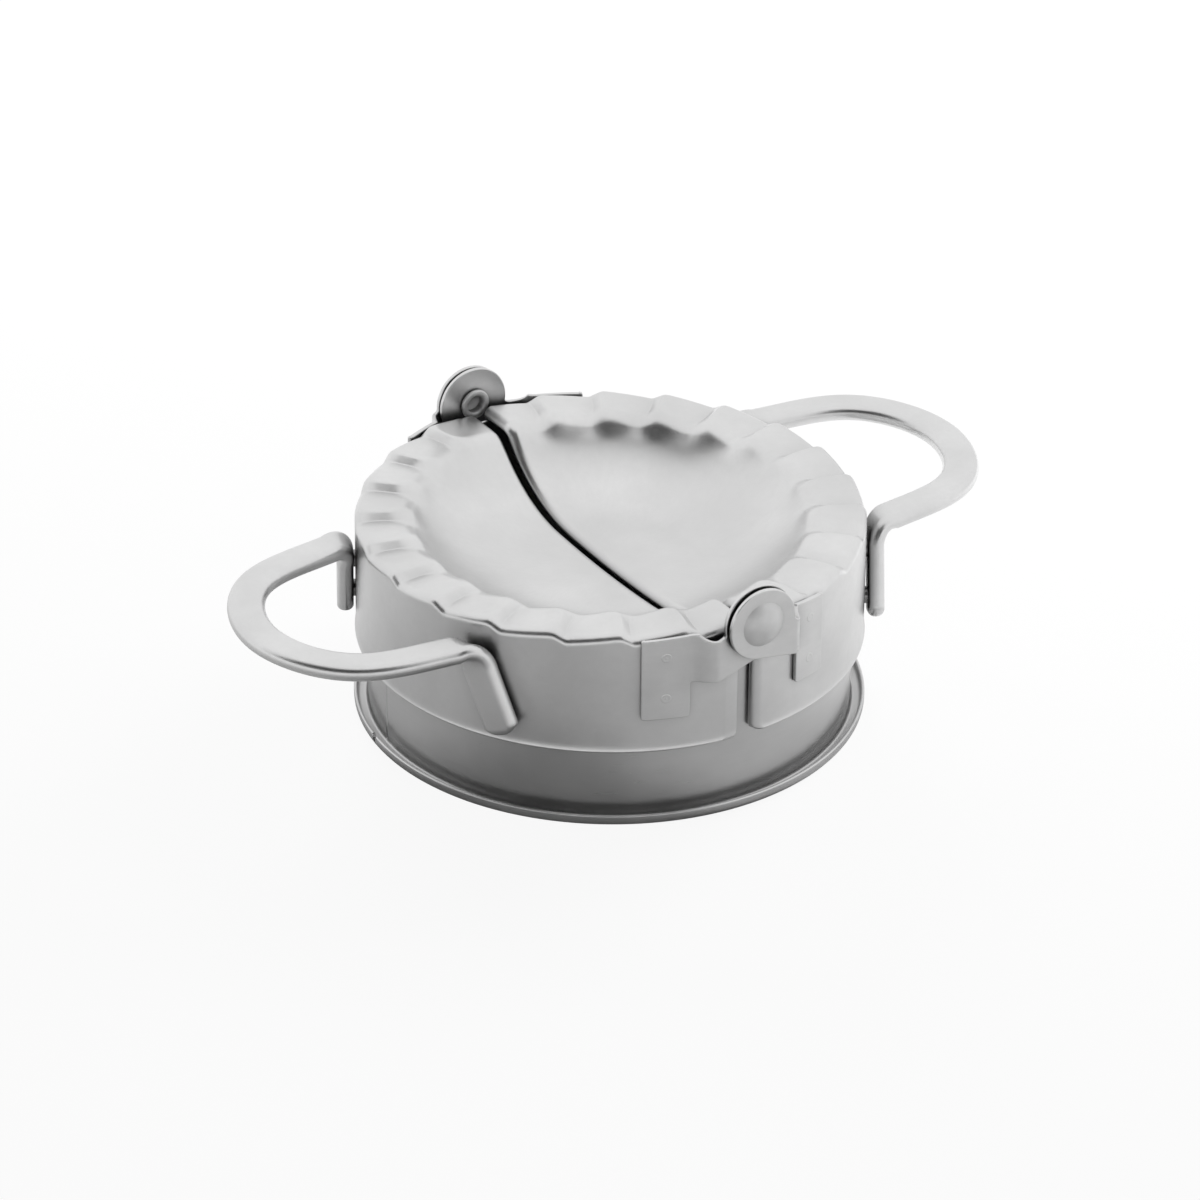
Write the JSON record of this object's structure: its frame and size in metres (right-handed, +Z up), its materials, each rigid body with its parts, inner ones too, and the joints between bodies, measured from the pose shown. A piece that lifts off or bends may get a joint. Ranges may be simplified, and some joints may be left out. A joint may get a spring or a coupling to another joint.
{
  "type": "empanada press",
  "caption": "Two hinged half-round stamped dies with a pleated sealing ring and loop handles, standing over a round dough cutter with a rolled rim.",
  "frame": {"origin": "centre of the round cutter on the plane its rolled rim stands on", "axes": "+X along the handles towards the half that folds over, +Y along the hinge line to the rear hinge, +Z up"},
  "size_m": [0.1448, 0.097, 0.0433],
  "materials": {
    "band_steel": "satin stainless band",
    "pressed_steel": "satin stainless stamping",
    "bar_steel": "smooth satin stainless bar",
    "hinge_steel": "satin stainless strip",
    "rivet_steel": "polished stainless rivet",
    "weld_steel": "pressed spot weld"
  },
  "bodies": {
    "cutter": {"cutter_ring": "band_steel"},
    "left_half": {"left_die": "pressed_steel", "left_handle": "bar_steel", "left_handle_welds": "weld_steel", "front_left_leaf": "hinge_steel", "front_left_welds": "weld_steel", "rear_left_leaf": "hinge_steel", "rear_left_welds": "weld_steel", "rear_rivet": "rivet_steel"},
    "right_half": {"right_die": "pressed_steel", "right_handle": "bar_steel", "right_handle_welds": "weld_steel", "front_right_leaf": "hinge_steel", "front_right_welds": "weld_steel", "rear_right_leaf": "hinge_steel", "rear_right_welds": "weld_steel", "front_rivet": "rivet_steel"}
  },
  "joints": [
    {"name": "lift_off", "type": "slide", "parent": "cutter", "child": "left_half", "axis": [0, 0, 1], "range_m": [0, 0.06]},
    {"name": "fold", "type": "hinge", "parent": "left_half", "child": "right_half", "pos_m": [0, 0, 0.0369], "axis": [0, -1, 0], "range_deg": [0, 180]}
  ]
}
